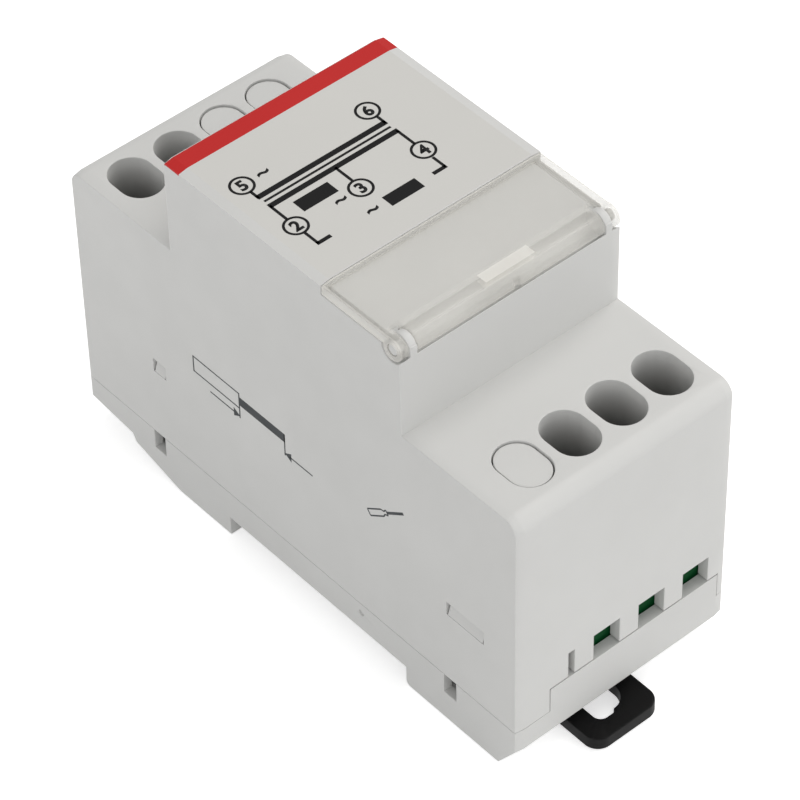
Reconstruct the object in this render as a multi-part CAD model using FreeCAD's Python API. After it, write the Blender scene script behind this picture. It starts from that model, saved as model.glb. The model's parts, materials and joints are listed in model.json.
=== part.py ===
import FreeCAD, Part
import math
import os

# Bell transformer in a two-module housing for a 35 mm rail, all lengths in millimetres.
# Origin: centre line of the rail, on the rail seat, in the middle of the width.
# +Z points away from the rail, X runs along the rail, and the near end (three terminals) faces -Y.

V = FreeCAD.Vector

# Housing
BODY_WIDTH = 36.0
NEAR_LENGTH = 38.65
FAR_LENGTH = 47.35
SHOULDER_HEIGHT = 42.8
PARTING_HEIGHT = 5.0
PARTING_GAP = 0.08
SIDE_WALL = 1.4
END_WALL = 1.7
TOP_WALL = 1.6
EDGE_WIDTH = 1.4
EDGE_DROP = 0.25
SHOULDER_ROUND = 2.3
NOSE_ROUND = 0.8

# Laminated core: the unit is the width of an outer leg, and the nose is built around the core
LAMINATION_UNIT = 8.0
CORE_UNITS_LONG = 5
CORE_UNITS_HIGH = 6
STACK_THICKNESS = 16.8
CORE_SEAT = 3.0
NOSE_HEADROOM = 6.7
NOSE_END_ROOM = 2.5
CRADLE_WALL = 1.2
CRADLE_RISE = 5.0
CRADLE_PAD = 6.0
CORE_RIB_INSET = 8.0

# Rail interface and feet
RAIL_WIDTH = 35.0
RAIL_THICKNESS = 1.0
RAIL_PLAY = 0.15
FOOT_DEPTH = 3.2
FLOOR = 1.5
FAR_FLOOR_RISE = 1.4
END_EDGE_HEIGHT = 1.3
NEAR_FOOT_SETBACK = 3.4
FOOT_ROUND = 0.9
FAR_FOOT_FLAT = 10.8
FAR_SLOPE_INSET = 9.6
FAR_SLOPE_HEIGHT = -0.8
FAR_STEP_INSET = 8.9
FAR_STEP_HEIGHT = 0.4
HOOK_REACH = 1.4
HOOK_WIDTH = 9.0
HOOK_SPACING = 20.0
HOOK_PLAY = 0.25
POCKET_WALL = 1.6
POCKET_ROOF = 1.5

# Snap joints between cover and base
SNAP_WIDE = 6.9
SNAP_NARROW = 2.6
SNAP_WIDE_INSET = 6.0
SNAP_NARROW_INSET = 15.1
SNAP_TOP = 19.2
SNAP_HEIGHT = 2.3
SNAP_ARM = 1.2
SNAP_GAP = 0.15
SNAP_FLUSH = 0.03
SNAP_SEAT = 0.04
SNAP_RAMP = 0.5
SNAP_OVER = 0.55
SNAP_END_GAP = 0.25
MOULD_SLOT_WIDTH = 2.3
MOULD_SLOT_HEIGHT = 3.4
MOULD_SLOT_WIDE_INSET = 11.3
MOULD_SLOT_NARROW_INSET = 14.0
MOULD_MARK_RADIUS = 0.45
MOULD_MARK_DEPTH = 0.3
MOULD_MARK_Y = -9.0
MOULD_MARK_Z = 3.2

# Terminal rows: four poles fill the inside width, moved to one side by the row offset
POLES = 4
ROW_OFFSET = 1.2
HOLE_INSET = 7.35
HOLE_WIDTH = 6.25
HOLE_LENGTH = 8.35
GUIDE_WALL = 0.6
GUIDE_SIDE_GAP = 0.125
GUIDE_FLOOR = 1.0
DRIVER_BORE = 2.0
WINDOW_WIDTH = 4.4
WINDOW_HEIGHT = 4.5
SILL_HEIGHT = 9.1
TONGUE_INSET = 1.3
TONGUE_GAP = 0.15
TONGUE_SHORT = 12.2
TONGUE_FIT = 0.05
BLANK_SLIT = 1.0

# Terminal block, clamp and screw
BLOCK_FRONT_GAP = 0.3
BLOCK_SIDE_GAP = 0.25
BLOCK_DEPTH = 10.0
BLOCK_SEAT_DROP = 1.0
BLOCK_RIB = 1.4
ENTRY_WIDTH = 3.6
ENTRY_HEIGHT = 3.2
ENTRY_RISE = 2.2
ENTRY_CHAMFER = 0.5
CONTACT_WIDTH = 2.8
CONTACT_THICKNESS = 1.0
CONTACT_TAIL = 2.5
CAGE_INSIDE = 3.5
CAGE_WALL = 0.7
CAGE_FLOOR = 0.8
CAGE_CHAMFER = 0.35
CAGE_TOP = 1.2
CAGE_LENGTH = 5.0
CAGE_LIFT = 2.5
SCREW_RADIUS = 1.5
SCREW_DECK = 0.8
HEAD_RADIUS = 2.2
HEAD_HEIGHT = 1.8
HEAD_SLOT = 0.8
HEAD_CHAMFER = 0.3
RUNNING_GAP = 0.06
MOVING_GAP = 0.3
SEAT_GAP = 0.1

# Blanking inserts
PLUG_GAP = 0.2
PLUG_LENGTH = 5.0
PLUG_SINK = 0.25
STEM_WIDTH = 3.2
STEM_THICKNESS = 1.2
STEM_INSET = 4.5

# Label and flap
LABEL_THICKNESS = 0.25
LABEL_GAP = 0.2
BAND_WIDTH = 3.3
BAND_EDGE = 0.45
FLAP_LENGTH = 14.6
FLAP_THICKNESS = 1.0
FLAP_INSET = 0.1
RIM_WIDTH = 1.2
RIM_HEIGHT = 1.6
LIP_RADIUS = 1.75
LIP_THICKNESS = 0.9
LIP_DROP = 0.55
LIP_GAP = 0.15
LIP_NOTCH = 0.9
LIP_NOTCH_OFFSET = 0.8
EAR_THICKNESS = 1.25
EAR_RADIUS = 1.65
CHEEK = 1.15
LUG_SHY = 0.1
PEG_RADIUS = 0.8
HINGE_BAR = 1.4

# Rail clip
CLIP_WIDTH = 11.4
CLIP_CENTRE = -2.3
CLIP_THICKNESS = 1.9
CLIP_GRIP = 1.4
CLIP_REACH = 4.2
CLIP_GAP = 0.2
CLIP_LIP = 0.9
CLIP_LIP_HEIGHT = 0.55
CLIP_CORNER = 2.2
LOOP_WIDTH = 5.5
LOOP_LENGTH = 7.4
LOOP_BAR = 2.6
LOOP_CORNER = 1.2
LOOP_ARC = 2.6
LOOP_STEP = 0.5
ARM_WIDTH = 1.2
ARM_SLOT = 0.6
ARM_LENGTH = 8.0
JAW_RAMP = 1.1

# Bobbin, windings and leads
BOBBIN_WALL = 0.9
BOBBIN_FLANGE = 1.0
BOBBIN_GAP = 0.1
FLANGE_GAP = 0.3
TAPE_THICKNESS = 0.3
TAPE_GAP = 0.05
WINDING_ROUND = 3.0
WINDING_SPARE = 1.1
LEAD_CHANNEL = 1.8
LEAD_DIAMETER = 1.2
LEAD_LANE = 2.0
LEAD_LANE_STEP = 2.6
LEAD_CLEAR = 1.4
LEAD_SIDES = 6
LEAD_STEPS = 3
LEAD_BEND = 0.45
CUTOUT_THICKNESS = 1.4
CUTOUT_LENGTH = 9.0
CUTOUT_HEIGHT = 5.0
CUTOUT_ROUND = 0.4

# Places worked out from the sizes above
HALF = BODY_WIDTH / 2
INSIDE = HALF - SIDE_WALL
NEAR_END = -NEAR_LENGTH
FAR_END = FAR_LENGTH
COVER_FOOT = PARTING_HEIGHT + PARTING_GAP
CREASE = HALF - EDGE_WIDTH
MID_Y = (FAR_END + NEAR_END) / 2

CORE_LENGTH = CORE_UNITS_LONG * LAMINATION_UNIT
CORE_HEIGHT = CORE_UNITS_HIGH * LAMINATION_UNIT
CORE_NEAR = MID_Y - CORE_LENGTH / 2
CORE_FAR = MID_Y + CORE_LENGTH / 2
CORE_TOP = CORE_SEAT + CORE_HEIGHT
CORE_MID = CORE_SEAT + CORE_HEIGHT / 2
STACK = STACK_THICKNESS / 2
NOSE_NEAR = CORE_NEAR - NOSE_END_ROOM
NOSE_FAR = CORE_FAR + NOSE_END_ROOM
NOSE_TOP = CORE_TOP + NOSE_HEADROOM

RECESS = RAIL_WIDTH / 2 + RAIL_PLAY
FOOT = -FOOT_DEPTH

POLE_PITCH = 2 * (INSIDE - ROW_OFFSET) / POLES
POLE_X = [ROW_OFFSET + (pole - (POLES - 1) / 2) * POLE_PITCH for pole in range(POLES)]
TONGUE = HALF - TONGUE_INSET
WINDOW_TOP = SILL_HEIGHT + WINDOW_HEIGHT
BLOCK_FRONT = END_WALL + BLOCK_FRONT_GAP
BLOCK_BACK = BLOCK_FRONT + BLOCK_DEPTH
BLOCK_SEAT = SILL_HEIGHT - BLOCK_SEAT_DROP
ENTRY_SILL = SILL_HEIGHT + ENTRY_RISE
CONTACT_LOW = ENTRY_SILL + ENTRY_HEIGHT
CONTACT_HIGH = CONTACT_LOW + CONTACT_THICKNESS
CONTACT_MID = (CONTACT_LOW + CONTACT_HIGH) / 2
CAGE_HALF = CAGE_INSIDE / 2 + CAGE_WALL
CAGE_LID = CONTACT_HIGH + MOVING_GAP
CAGE_HIGH = CAGE_LID + CAGE_TOP
DECK_LOW = CAGE_HIGH + CAGE_LIFT + MOVING_GAP
DECK_HIGH = DECK_LOW + SCREW_DECK
HEAD_LOW = DECK_HIGH + SEAT_GAP
HEAD_HIGH = HEAD_LOW + HEAD_HEIGHT
BLOCK_TOP = HEAD_HIGH + SEAT_GAP
GUIDE_LOW = BLOCK_TOP + MOVING_GAP
TAIL_END = BLOCK_BACK + CONTACT_TAIL

FLAP_HALF = HALF - FLAP_INSET
FLAP_FAR = NOSE_NEAR + FLAP_LENGTH
HINGE_Y = NOSE_NEAR + LIP_RADIUS
HINGE_Z = NOSE_TOP - LIP_RADIUS
EAR_INSIDE = FLAP_HALF - EAR_THICKNESS
CHEEK_OUT = EAR_INSIDE - LIP_GAP
CHEEK_IN = CHEEK_OUT - CHEEK
LIP_HALF = CHEEK_IN - LIP_GAP
TROUGH = LIP_RADIUS + LIP_GAP
FLAP_NOTCH_FAR = HINGE_Y + TROUGH + LIP_GAP

CLIP_TOP = -RAIL_THICKNESS - LIP_GAP
CLIP_LOW = CLIP_TOP - CLIP_THICKNESS
CLIP_NEAR = NEAR_END - CLIP_REACH
CLIP_FAR = -RAIL_WIDTH / 2 + CLIP_GRIP
LOOP_FAR = CLIP_NEAR + LOOP_BAR + LOOP_LENGTH
GUIDE_NEAR = NEAR_END + NEAR_FOOT_SETBACK + MOVING_GAP

FLANGE_X = INSIDE - LEAD_CHANNEL
FLANGE_Z = 2 * LAMINATION_UNIT - FLANGE_GAP
TUBE_X = STACK + BOBBIN_GAP + BOBBIN_WALL
TUBE_Z = LAMINATION_UNIT + BOBBIN_GAP + BOBBIN_WALL
BOBBIN_NEAR = CORE_NEAR + LAMINATION_UNIT + BOBBIN_GAP
BOBBIN_FAR = CORE_FAR - LAMINATION_UNIT - BOBBIN_GAP
CHAMBER = (BOBBIN_FAR - BOBBIN_NEAR - 3 * BOBBIN_FLANGE) / 2
WINDING_X = FLANGE_X - TAPE_THICKNESS - 3 * TAPE_GAP
WINDING_Z = FLANGE_Z - TAPE_THICKNESS - WINDING_SPARE
TAPE_X = WINDING_X + TAPE_GAP + TAPE_THICKNESS
TAPE_Z = WINDING_Z + TAPE_GAP + TAPE_THICKNESS
LEAD_RADIUS = LEAD_DIAMETER / 2

TOUCH = 1e-4
PAST = 1.0

# Which poles are wired at each end, by terminal number, and which are blanked
WIRED = {"near": {2: 1, 3: 2, 4: 3}, "far": {6: 2, 5: 3}}
# Width and sill of the wire entries of each block: the primary's are as wide as its windows
ENTRIES = {"near": (ENTRY_WIDTH, ENTRY_SILL), "far": (WINDOW_WIDTH, SILL_HEIGHT)}
BLANKED = {"near": {"near": 0}, "far": {"far_outer": 0, "far_inner": 1}}


def box(x, y, z):
    """A block between pairs of limits."""
    return Part.makeBox(x[1] - x[0], y[1] - y[0], z[1] - z[0], V(x[0], y[0], z[0]))


def rod(radius, start, end):
    """A round bar from one point to another."""
    run = V(*end) - V(*start)
    return Part.makeCylinder(radius, run.Length, V(*start), run)


def hinge_rod(radius, start, end):
    """A round bar on the flap's hinge line, between two places across the width."""
    return rod(radius, (start, HINGE_Y, HINGE_Z), (end, HINGE_Y, HINGE_Z))


def screw_rod(radius, x, low, high):
    """A round bar on a clamp screw's line, in an end's own frame."""
    return rod(radius, (x, HOLE_INSET, low), (x, HOLE_INSET, high))


def stadium(width, length, x, y, z):
    """An upright oblong with round ends, long way along Y, between two heights."""
    half = width / 2
    straight = (length - width) / 2
    low = y - straight
    high = y + straight
    near = Part.Arc(V(x - half, low, z[0]), V(x, low - half, z[0]), V(x + half, low, z[0])).toShape()
    right = Part.makeLine(V(x + half, low, z[0]), V(x + half, high, z[0]))
    far = Part.Arc(V(x + half, high, z[0]), V(x, high + half, z[0]), V(x - half, high, z[0])).toShape()
    left = Part.makeLine(V(x - half, high, z[0]), V(x - half, low, z[0]))
    return Part.Face(Part.Wire([near, right, far, left])).extrude(V(0, 0, z[1] - z[0]))


def side_prism(points, x):
    """A side outline of (y, z) points, drawn across the width between two limits."""
    corners = [V(x[0], y, z) for y, z in points]
    outline = Part.makePolygon(corners + corners[:1])
    return Part.Face(outline).extrude(V(x[1] - x[0], 0, 0))


def rounded(shape, radius, wanted):
    """The shape with a fillet on every edge whose box passes the test."""
    return shape.makeFillet(radius, [edge for edge in shape.Edges if wanted(edge.BoundBox)])


def chamfered(shape, size, wanted):
    """The shape with a chamfer on every edge whose box passes the test."""
    return shape.makeChamfer(size, [edge for edge in shape.Edges if wanted(edge.BoundBox)])


def at(value, target):
    return abs(value - target) < TOUCH


def joined(shapes):
    first, *rest = shapes
    return first.fuse(rest).removeSplitter() if rest else first


def place(shape, end):
    """Moves a shape from an end's own frame, where Y runs inwards from the end face, to the part."""
    moved = shape.copy()
    if end == "near":
        moved.translate(V(0, NEAR_END, 0))
    else:
        moved.rotate(V(0, 0, 0), V(0, 0, 1), 180)
        moved.translate(V(0, FAR_END, 0))
    return moved


def on_both_ends(make):
    return [place(shape, end) for end in ("near", "far") for shape in make(end)]


def corner_arc(x, centre, radius, first, last):
    """A quarter turn in a side outline, between two angles in degrees from +Y towards +Z."""
    points = []
    for degrees in (first, (first + last) / 2, last):
        angle = math.radians(degrees)
        points.append(V(x, centre[0] + radius * math.cos(angle), centre[1] + radius * math.sin(angle)))
    return points


def cover_outline(x, inset):
    """Side outline of the cover, drawn in by the inset everywhere but along its foot."""
    shoulder = SHOULDER_ROUND
    high = SHOULDER_HEIGHT - shoulder
    near = corner_arc(x, (NEAR_END + shoulder, high), shoulder - inset, 180, 90)
    top = corner_arc(x, (NOSE_FAR - NOSE_ROUND, NOSE_TOP - NOSE_ROUND), NOSE_ROUND - inset, 90, 0)
    far = corner_arc(x, (FAR_END - shoulder, high), shoulder - inset, 90, 0)
    step = SHOULDER_HEIGHT - inset
    path = [
        [V(x, NEAR_END + inset, COVER_FOOT)],
        near,
        [V(x, NOSE_NEAR + inset, step)],
        [V(x, NOSE_NEAR + inset, NOSE_TOP - inset)],
        top,
        [V(x, NOSE_FAR - inset, step)],
        far,
        [V(x, FAR_END - inset, COVER_FOOT)],
    ]
    return outline_wire(path)


def outline_wire(path):
    """A closed wire through single points and three-point arcs, in order."""
    edges = []
    for here, following in zip(path, path[1:] + path[:1]):
        if len(here) == 3:
            edges.append(Part.Arc(*here).toShape())
        edges.append(Part.makeLine(here[-1], following[0]))
    return Part.Wire(edges)


def crowned(outline):
    """A body across the whole width, whose outline draws in a little beyond the crease near each side."""
    sections = [(-HALF, EDGE_DROP), (-CREASE, 0), (CREASE, 0), (HALF, EDGE_DROP)]
    wires = [outline(x, inset) for x, inset in sections]
    return Part.makeLoft(wires, True, True)


def cover_skin():
    """Outside of the cover: shoulders and nose, with a shallow slope along the side edges."""
    return crowned(cover_outline)


def cover_hollow():
    body = box((-INSIDE, INSIDE), (NEAR_END + END_WALL, FAR_END - END_WALL),
               (COVER_FOOT - PAST, SHOULDER_HEIGHT - TOP_WALL))
    ceiling = NOSE_TOP - TOP_WALL - LABEL_THICKNESS
    bar_far = HINGE_Y + TROUGH + HINGE_BAR
    upper = box((-INSIDE, INSIDE), (NOSE_NEAR + END_WALL, NOSE_FAR - END_WALL), (COVER_FOOT, ceiling))
    hinge_bar = box((-HALF, HALF), (NOSE_NEAR, bar_far), (HINGE_Z - TROUGH - HINGE_BAR, NOSE_TOP))
    seat_far = FLAP_FAR + TOP_WALL
    seat_low = NOSE_TOP - FLAP_THICKNESS - SEAT_GAP - TOP_WALL
    seat = box((-HALF, HALF), (NOSE_NEAR, seat_far), (seat_low, NOSE_TOP))
    return body.fuse(upper.cut([hinge_bar, seat]))


def driver_guide(end):
    """Block under the shoulder that guides a screwdriver down to each screw head of an end."""
    poles = [POLE_X[pole] for pole in WIRED[end].values()]
    side = POLE_PITCH / 2 - GUIDE_SIDE_GAP
    along = HOLE_LENGTH / 2 + GUIDE_WALL
    block = box((min(poles) - side, max(poles) + side), (HOLE_INSET - along, HOLE_INSET + along),
                (GUIDE_LOW, SHOULDER_HEIGHT - TOP_WALL))
    return block.cut(driver_holes(end)).removeSplitter()


def driver_holes(end):
    holes = []
    wired = WIRED[end].values()
    for pole, x in enumerate(POLE_X):
        low = GUIDE_LOW + GUIDE_FLOOR if pole in wired else GUIDE_LOW - PAST
        holes.append(stadium(HOLE_WIDTH, HOLE_LENGTH, x, HOLE_INSET, (low, SHOULDER_HEIGHT + PAST)))
        if pole in wired:
            holes.append(screw_rod(DRIVER_BORE, x, GUIDE_LOW - PAST, low + PAST))
    return holes


def end_openings(end):
    """Wire windows, a slit in place of each blanked one, and the room for the base's end wall."""
    wall = (-PAST, END_WALL + PAST)
    cuts = [box((-TONGUE_SHORT - TONGUE_FIT, TONGUE + TONGUE_GAP), wall,
                (COVER_FOOT - PAST, SILL_HEIGHT + TONGUE_GAP))]
    wired = WIRED[end].values()
    for pole, x in enumerate(POLE_X):
        edge = x + WINDOW_WIDTH / 2
        width = WINDOW_WIDTH if pole in wired else BLANK_SLIT
        cuts.append(box((edge - width, edge), wall, (SILL_HEIGHT, WINDOW_TOP)))
    return cuts


def snap_windows(end):
    cuts = []
    for side, inset, width in ((-1, SNAP_WIDE_INSET, SNAP_WIDE), (1, SNAP_NARROW_INSET, SNAP_NARROW)):
        across = sorted((side * (INSIDE - PAST), side * (HALF + PAST)))
        cuts.append(box(across, (inset, inset + width), (SNAP_TOP - SNAP_HEIGHT, SNAP_TOP)))
    return cuts


def flap_room():
    """Seat, side rabbets, hinge trough and ear pockets of the clear flap."""
    far = FLAP_FAR + SEAT_GAP
    near = NOSE_NEAR - PAST
    seat = NOSE_TOP - FLAP_THICKNESS - SEAT_GAP
    rabbet = FLAP_HALF - RIM_WIDTH - SEAT_GAP
    over = NOSE_TOP + PAST
    cuts = [box((-HALF - PAST, HALF + PAST), (near, far), (seat, over))]
    trough_half = CHEEK_IN
    cuts.append(hinge_rod(TROUGH, -trough_half, trough_half))
    for side in (-1, 1):
        across = sorted((side * rabbet, side * (HALF + PAST)))
        cuts.append(box(across, (HINGE_Y, far), (NOSE_TOP - RIM_HEIGHT - SEAT_GAP, over)))
        cuts.append(hinge_rod(TROUGH, side * CHEEK_OUT, side * (HALF + PAST)))
    return cuts


def hinge_lugs():
    """Cheeks of the cover with the pegs that carry the flap's ears."""
    lugs = []
    for side in (-1, 1):
        lugs.append(hinge_rod(LIP_RADIUS - LUG_SHY, side * CHEEK_IN, side * CHEEK_OUT))
        peg_end = side * (FLAP_HALF - SEAT_GAP)
        lugs.append(hinge_rod(PEG_RADIUS, side * CHEEK_IN, peg_end))
    return lugs


def core_ribs():
    """Ribs under the nose's ceiling that hold the core down."""
    half_rib = CRADLE_WALL / 2
    ceiling = NOSE_TOP - TOP_WALL - LABEL_THICKNESS
    places = (CORE_NEAR + 2 * CORE_RIB_INSET, CORE_FAR - CORE_RIB_INSET)
    height = (CORE_TOP + SEAT_GAP, ceiling)
    return [box((-INSIDE, INSIDE), (y - half_rib, y + half_rib), height) for y in places]


def label_plate():
    return box((-CREASE, CREASE), (FLAP_FAR + SEAT_GAP + LABEL_GAP, NOSE_FAR - BAND_WIDTH),
               (NOSE_TOP - LABEL_THICKNESS, NOSE_TOP))


def band_plate():
    """The red band follows the sloping side edges of the nose, so it is a slice of the cover's own skin."""
    skin = cover_skin()
    below = skin.copy()
    below.translate(V(0, 0, -LABEL_THICKNESS))
    window = box((-HALF, HALF), (NOSE_FAR - BAND_WIDTH, NOSE_FAR - BAND_EDGE),
                 (NOSE_TOP - NOSE_ROUND, NOSE_TOP + PAST))
    return skin.common(window).cut(below)


def front_cover():
    cover = cover_skin().cut(cover_hollow())
    cover = cover.fuse(core_ribs())
    cuts = on_both_ends(driver_holes) + on_both_ends(end_openings) + on_both_ends(snap_windows)
    cover = cover.cut(cuts + flap_room() + [label_plate(), band_plate()])
    return cover.fuse(hinge_lugs()).removeSplitter()


def base_outline(x, inset):
    """Side outline of the base: near foot, rail recess, far foot and the rising far end."""
    points = [
        (NEAR_END + inset, PARTING_HEIGHT),
        (NEAR_END + inset, END_EDGE_HEIGHT),
        (NEAR_END + NEAR_FOOT_SETBACK, FOOT),
        (-RECESS, FOOT),
        (-RECESS, 0),
        (RECESS, 0),
        (RECESS, FOOT),
        (RECESS + FAR_FOOT_FLAT, FOOT),
        (FAR_END - FAR_SLOPE_INSET, FAR_SLOPE_HEIGHT),
        (FAR_END - FAR_STEP_INSET, FAR_STEP_HEIGHT),
        (FAR_END - inset, END_EDGE_HEIGHT),
        (FAR_END - inset, PARTING_HEIGHT),
    ]
    return outline_wire([[V(x, y, z)] for y, z in points])


def base_body():
    body = crowned(base_outline).removeSplitter()
    return rounded(body, FOOT_ROUND, lambda b: at(b.YMin, -RECESS) and at(b.YLength, 0) and at(b.ZMax, FOOT))


def base_hollow():
    near = NEAR_END + END_WALL
    far = FAR_END - END_WALL
    step = FAR_END - FAR_SLOPE_INSET - FLOOR
    over = PARTING_HEIGHT + PAST
    main = box((-INSIDE, INSIDE), (near, step), (FLOOR, over))
    return main.fuse(box((-INSIDE, INSIDE), (near, far), (FLOOR + FAR_FLOOR_RISE, over)))


def end_wall(end):
    """The base's end wall, whose top is the sill of the wire windows, and the ribs under the block."""
    poles = [POLE_X[pole] for pole in WIRED[end].values()]
    low = min(poles) - POLE_PITCH / 2 + BLOCK_SIDE_GAP
    high = max(poles) + POLE_PITCH / 2 - BLOCK_SIDE_GAP
    pieces = [box((-TONGUE_SHORT, TONGUE), (0, END_WALL), (PARTING_HEIGHT - PAST, SILL_HEIGHT))]
    for start in (BLOCK_FRONT, BLOCK_BACK - BLOCK_RIB):
        pieces.append(box((low, high), (start, start + BLOCK_RIB), (FLOOR, BLOCK_SEAT)))
    return pieces


def snap_arms(end):
    """Arms with a catch that stands in the cover's snap window and slopes in towards its top."""
    arms = []
    for side, inset, width in ((-1, SNAP_WIDE_INSET, SNAP_WIDE), (1, SNAP_NARROW_INSET, SNAP_NARROW)):
        outer = INSIDE - SNAP_GAP
        inner = outer - SNAP_ARM
        along = (inset + SNAP_END_GAP, inset + width - SNAP_END_GAP)
        low = SNAP_TOP - SNAP_HEIGHT + SNAP_SEAT
        high = SNAP_TOP - SNAP_OVER
        tip = HALF - SNAP_FLUSH
        points = [(inner, FLOOR), (outer, FLOOR), (outer, low), (tip, low), (tip - SNAP_RAMP, high),
                  (inner, high)]
        corners = [V(side * x, along[0], z) for x, z in points]
        outline = Part.makePolygon(corners + corners[:1])
        arms.append(Part.Face(outline).extrude(V(0, along[1] - along[0], 0)))
    return arms


def mould_slots(end):
    """Upright slots through the side walls below the parting line, where the mould's slides came in."""
    cuts = []
    for side, inset in ((-1, MOULD_SLOT_WIDE_INSET), (1, MOULD_SLOT_NARROW_INSET)):
        across = sorted((side * (INSIDE - PAST), side * (HALF + PAST)))
        low = PARTING_HEIGHT - MOULD_SLOT_HEIGHT
        cuts.append(box(across, (inset, inset + MOULD_SLOT_WIDTH), (low, PARTING_HEIGHT + PAST)))
    return cuts


def mould_mark():
    """Shallow round mark of an ejector on the printed side."""
    start = (-HALF - PAST, MOULD_MARK_Y, MOULD_MARK_Z)
    return rod(MOULD_MARK_RADIUS, start, (-HALF + MOULD_MARK_DEPTH, MOULD_MARK_Y, MOULD_MARK_Z))


def core_cradle():
    """Pads under the core and low walls round its foot."""
    walls = []
    side = STACK + SEAT_GAP
    height = (FLOOR, FLOOR + CRADLE_RISE)
    for start in (CORE_NEAR, CORE_FAR - CRADLE_PAD):
        walls.append(box((-STACK, STACK), (start, start + CRADLE_PAD), (FLOOR, CORE_SEAT)))
        for x in (-side - CRADLE_WALL, side):
            walls.append(box((x, x + CRADLE_WALL), (start, start + CRADLE_PAD), height))
    for start in (CORE_NEAR - SEAT_GAP - CRADLE_WALL, CORE_FAR + SEAT_GAP):
        walls.append(box((-STACK, STACK), (start, start + CRADLE_WALL), height))
    return walls


def rail_hooks():
    """Fixed lugs that reach under the far edge of the rail, with a lead-in below."""
    hooks = []
    high = -RAIL_THICKNESS - HOOK_PLAY
    root = RECESS + PAST
    points = [(root, high), (RECESS - HOOK_REACH, high), (RECESS - HOOK_REACH, high - HOOK_PLAY),
              (RECESS, FOOT), (root, FOOT)]
    for x in (-HOOK_SPACING / 2, HOOK_SPACING / 2):
        hooks.append(side_prism(points, (x - HOOK_WIDTH / 2, x + HOOK_WIDTH / 2)))
    return hooks


def foot_pockets():
    """Mould cores in the undersides of both feet, which keep the walls thin."""
    clip_low = CLIP_CENTRE - CLIP_WIDTH / 2 - CLIP_GAP - POCKET_WALL
    clip_high = CLIP_CENTRE + CLIP_WIDTH / 2 + CLIP_GAP + POCKET_WALL
    edge = HALF - POCKET_WALL
    near = (NEAR_END + NEAR_FOOT_SETBACK + POCKET_WALL, -RECESS - POCKET_WALL - FOOT_ROUND)
    far = (RECESS + POCKET_WALL, RECESS + FAR_FOOT_FLAT - POCKET_WALL)
    roof = (FOOT - PAST, FLOOR - POCKET_ROOF)
    pockets = [box((-edge, clip_low), near, roof), box((clip_high, edge), near, roof)]
    half_rib = POCKET_WALL / 2
    pockets.append(box((-edge, -half_rib), far, roof))
    pockets.append(box((half_rib, edge), far, roof))
    return pockets


def clip_guide():
    """Channel for the rail clip through the near foot, with a lip along each lower edge."""
    half = CLIP_WIDTH / 2 + CLIP_GAP
    mouth = half - CLIP_LIP
    x = CLIP_CENTRE
    run = (NEAR_END - PAST, -RECESS + PAST)
    top = CLIP_TOP + CLIP_GAP
    lip_top = FOOT + CLIP_LIP_HEIGHT
    upper = box((x - half, x + half), run, (lip_top, top))
    lower = box((x - mouth, x + mouth), run, (FOOT - PAST, lip_top + PAST))
    ahead = box((x - half, x + half), (NEAR_END - PAST, GUIDE_NEAR), (FOOT - PAST, top))
    return [upper, lower, ahead]


def rear_base():
    base = base_body().cut(base_hollow())
    base = base.fuse(on_both_ends(end_wall) + on_both_ends(snap_arms) + core_cradle())
    base = base.cut(foot_pockets() + clip_guide() + on_both_ends(mould_slots) + [mould_mark()])
    return base.fuse(rail_hooks()).removeSplitter()


def label_flap():
    """Clear flap: plate with side rims, a round lip at the front, and an ear at each near corner."""
    plate = box((-FLAP_HALF, FLAP_HALF), (HINGE_Y, FLAP_FAR), (NOSE_TOP - FLAP_THICKNESS, NOSE_TOP))
    plate = plate.common(cover_skin())
    pieces = []
    cuts = []
    for side in (-1, 1):
        rim = sorted((side * (FLAP_HALF - RIM_WIDTH), side * FLAP_HALF))
        pieces.append(box(rim, (HINGE_Y, FLAP_FAR), (NOSE_TOP - RIM_HEIGHT, NOSE_TOP - FLAP_THICKNESS)))
        inside = side * EAR_INSIDE
        outside = side * FLAP_HALF
        pieces.append(hinge_rod(EAR_RADIUS, inside, outside))
        notch = sorted((side * LIP_HALF, inside))
        through = (NOSE_TOP - RIM_HEIGHT - PAST, NOSE_TOP + PAST)
        cuts.append(box(notch, (HINGE_Y - PAST, FLAP_NOTCH_FAR), through))
        bore = PEG_RADIUS + RUNNING_GAP
        cuts.append(hinge_rod(bore, side * LIP_HALF, side * (HALF + PAST)))
    ring = hinge_rod(LIP_RADIUS, -LIP_HALF, LIP_HALF)
    hollow = hinge_rod(LIP_RADIUS - LIP_THICKNESS, -HALF, HALF)
    front = box((-LIP_HALF, LIP_HALF), (NOSE_NEAR - PAST, HINGE_Y), (HINGE_Z - LIP_DROP, NOSE_TOP))
    pieces.append(ring.cut(hollow).common(front))
    notch_x = (LIP_NOTCH_OFFSET - LIP_NOTCH / 2, LIP_NOTCH_OFFSET + LIP_NOTCH / 2)
    cuts.append(box(notch_x, (NOSE_NEAR - PAST, NOSE_NEAR + LIP_NOTCH / 2), (HINGE_Z - PAST, NOSE_TOP)))
    return plate.fuse(pieces).cut(cuts).removeSplitter()


def blank_insert(pole):
    """Cap in a driver hole, with a stem that runs down behind the end wall."""
    x = POLE_X[pole]
    cap_top = SHOULDER_HEIGHT - PLUG_SINK
    cap = stadium(HOLE_WIDTH - 2 * PLUG_GAP, HOLE_LENGTH - 2 * PLUG_GAP, x, HOLE_INSET,
                  (cap_top - PLUG_LENGTH, cap_top))
    half = STEM_WIDTH / 2
    low = SILL_HEIGHT + PLUG_GAP
    stem = box((x - half, x + half), (STEM_INSET, STEM_INSET + STEM_THICKNESS), (low, cap_top - PLUG_LENGTH))
    return joined([cap, stem])


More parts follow.
